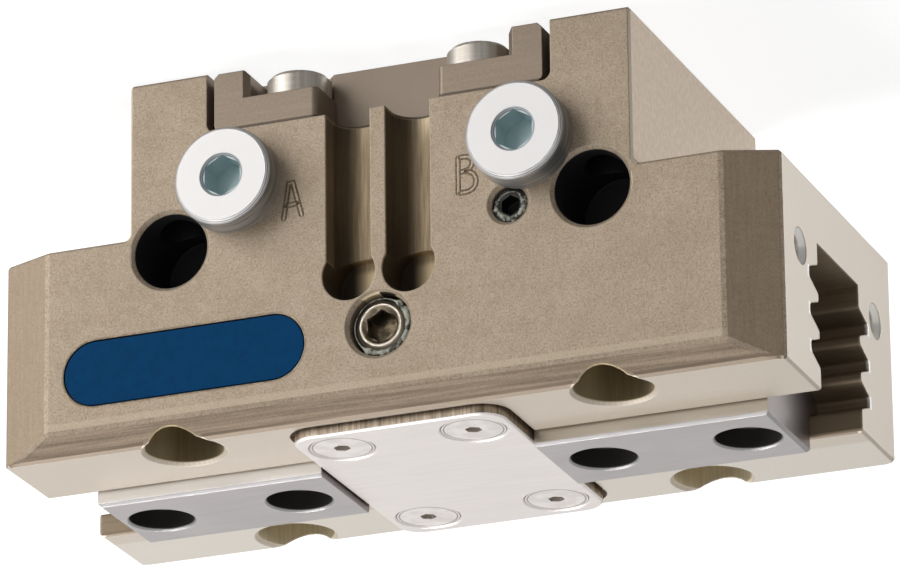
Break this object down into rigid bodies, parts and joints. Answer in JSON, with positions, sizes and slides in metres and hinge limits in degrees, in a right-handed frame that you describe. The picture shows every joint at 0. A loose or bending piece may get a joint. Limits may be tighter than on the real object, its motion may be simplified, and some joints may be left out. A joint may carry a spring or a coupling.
{
  "type": "parallel gripper",
  "caption": "Pneumatic parallel gripper: T-shaped housing with a toothed guide slot, base jaws driven apart by a wedge hook on an oval piston, and plugged air ports.",
  "frame": {"origin": "centre of the mounting face, in the middle of the four mounting holes", "axes": "+Z from the mounting face towards the jaws, X along the jaw travel, the front face with the air ports towards -Y; jaws closed"},
  "size_m": [0.109, 0.0541, 0.0524],
  "materials": {
    "anodised_housing": "matte, fine-grained anodised",
    "ground_plate": "satin, ground",
    "bright_screw": "bright turned",
    "ground_jaw": "satin, ground",
    "hardened_drive": "hardened and ground",
    "anodised_bracket": "smooth anodised",
    "satin_plug": "satin turned",
    "seal_rubber": "matte",
    "dark_screw": "black oxide",
    "blue_label": "smooth, bare",
    "plain_aluminium": "machined",
    "spring_ring": "spring steel",
    "magnet": "plated"
  },
  "bodies": {
    "housing": {"housing": "anodised_housing", "cover_plate": "ground_plate", "cover_plate_screws": "bright_screw", "sensor_bracket_a": "anodised_bracket", "sensor_bracket_b": "anodised_bracket", "sensor_bracket_screws": "bright_screw", "port_plug_a": "satin_plug", "port_plug_b": "satin_plug", "port_plug_seals": "seal_rubber", "purge_screw": "dark_screw", "front_cap_screw": "bright_screw", "label_plate": "blue_label", "cylinder_cover": "plain_aluminium", "cylinder_cover_seal": "seal_rubber", "cover_retaining_ring": "spring_ring", "rod_seal": "seal_rubber"},
    "jaw_a": {"base_jaw_a": "ground_jaw"},
    "jaw_b": {"base_jaw_b": "ground_jaw"},
    "piston": {"piston": "plain_aluminium", "piston_seal_lower": "seal_rubber", "piston_seal_upper": "seal_rubber", "piston_magnets": "magnet", "piston_screw": "dark_screw", "wedge_hook": "hardened_drive"}
  },
  "joints": [
    {"name": "jaw_a_slide", "type": "slide", "parent": "housing", "child": "jaw_a", "axis": [1, 0, 0], "range_m": [0, 0.008]},
    {"name": "jaw_b_slide", "type": "slide", "parent": "housing", "child": "jaw_b", "axis": [-1, 0, 0], "range_m": [0, 0.008]},
    {"name": "piston_slide", "type": "slide", "parent": "housing", "child": "piston", "axis": [0, 0, 1], "range_m": [0, 0.009]}
  ],
  "couplings": [
    {"joint": "jaw_b_slide", "follows": "jaw_a_slide", "ratio": 1},
    {"joint": "piston_slide", "follows": "jaw_a_slide", "ratio": 1.125}
  ]
}
